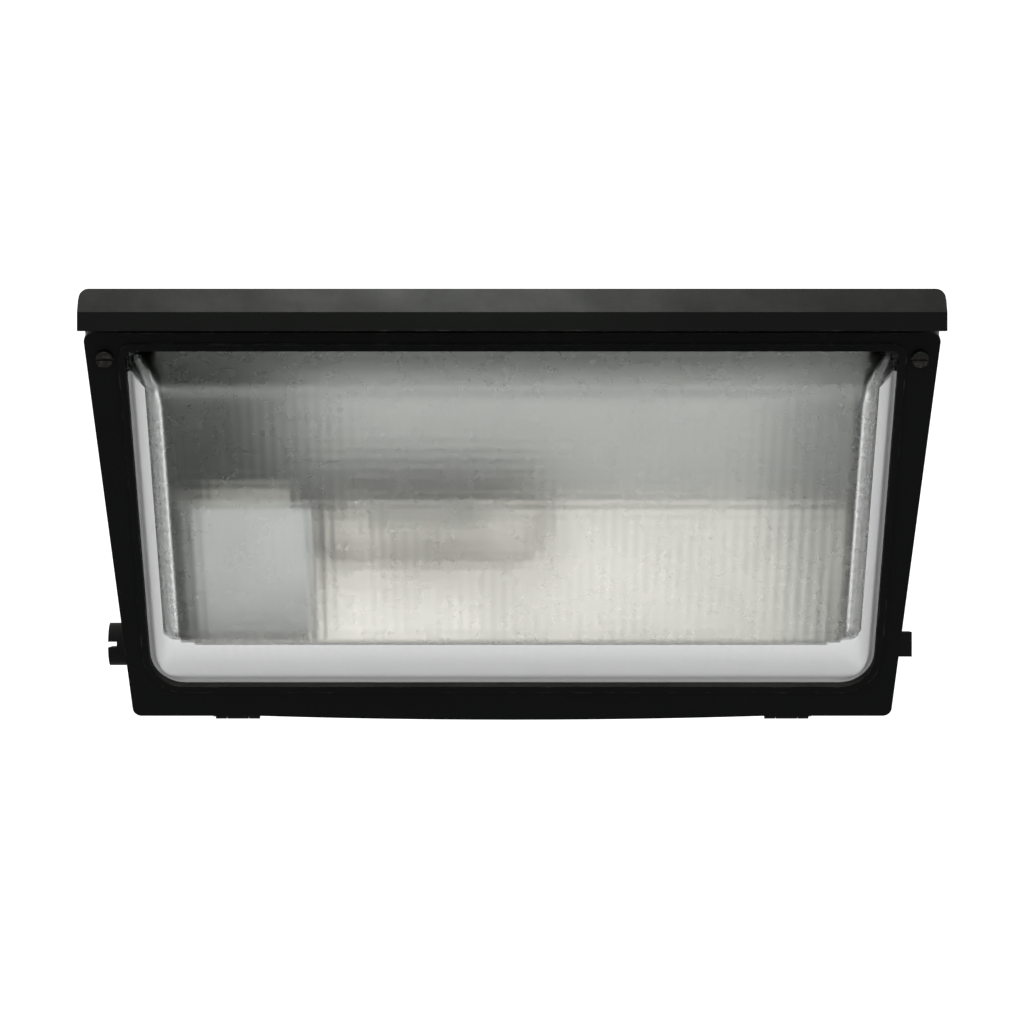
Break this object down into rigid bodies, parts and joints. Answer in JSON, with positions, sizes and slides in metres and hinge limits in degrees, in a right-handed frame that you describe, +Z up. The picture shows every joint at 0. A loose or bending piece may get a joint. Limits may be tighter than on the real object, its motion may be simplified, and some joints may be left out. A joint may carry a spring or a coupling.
{
  "type": "wall pack light",
  "caption": "Outdoor wall pack light: cast hood and housing, drop-down door with prismatic glass, lamp, reflector and ballast gear.",
  "frame": {"origin": "middle of the flat back of the housing, on the wall plane", "axes": "+Z up, -Y out of the wall towards the viewer, +X to the viewer's right"},
  "size_m": [0.4637, 0.23, 0.2362],
  "materials": {
    "cast_paint": "dark bronze black powder coat, satin",
    "door_paint": "dark bronze black powder coat, satin",
    "prism_glass": "pressed prismatic borosilicate glass",
    "silicone": "grey silicone",
    "spring_steel": "zinc plated",
    "zinc_screw": "zinc plated",
    "black_screw": "black oxide stainless",
    "pin_steel": "stainless",
    "specular_sheet": "bright anodised sheet",
    "plain_sheet": "mill finish sheet",
    "porcelain": "glazed porcelain",
    "shell_brass": "nickel brass",
    "base_brass": "nickel plated brass",
    "lamp_glass": "clear hard glass",
    "arc_ceramic": "translucent alumina",
    "core_steel": "varnished laminated steel",
    "coil_wrap": "varnished copper winding under tape",
    "cap_can": "drawn can",
    "ignitor_case": "potted case",
    "terminal_plastic": "moulded nylon",
    "green_screw": "green grounding screw",
    "plug_iron": "painted closure plug"
  },
  "bodies": {
    "case": {"housing": "cast_paint", "door_seal": "silicone", "hinge_pins": "pin_steel", "reflector": "specular_sheet", "reflector_screws": "zinc_screw", "lamp_socket": "porcelain", "socket_screw_shell": "shell_brass", "socket_bracket": "plain_sheet", "ballast_core": "core_steel", "ballast_coil": "coil_wrap", "ballast_feet": "spring_steel", "capacitor": "cap_can", "capacitor_clamp": "spring_steel", "ignitor": "ignitor_case", "terminal_block": "terminal_plastic", "terminal_screws": "zinc_screw", "ground_screw": "green_screw", "gear_screws": "zinc_screw", "hub_plug_left": "plug_iron", "hub_plug_right": "plug_iron"},
    "door": {"door_frame": "door_paint", "refractor": "prism_glass", "refractor_seal": "silicone", "refractor_clips": "spring_steel", "clip_screws": "zinc_screw"},
    "screw_left": {"door_screw_left": "black_screw"},
    "screw_right": {"door_screw_right": "black_screw"},
    "lamp": {"lamp_base": "base_brass", "lamp_envelope": "lamp_glass", "lamp_arc_tube": "arc_ceramic"}
  },
  "joints": [
    {"name": "door_hinge", "type": "hinge", "parent": "case", "child": "door", "pos_m": [0, -0.10504, -0.1137], "axis": [1, 0, 0], "range_deg": [0, 115]},
    {"name": "screw_left_slide", "type": "slide", "parent": "door", "child": "screw_left", "axis": [0, -0.9171, -0.3987], "range_m": [0, 0.006]},
    {"name": "screw_right_slide", "type": "slide", "parent": "door", "child": "screw_right", "axis": [0, -0.9171, -0.3987], "range_m": [0, 0.006]},
    {"name": "lamp_slide", "type": "slide", "parent": "case", "child": "lamp", "axis": [1, 0, 0], "range_m": [0, 0.028]}
  ]
}
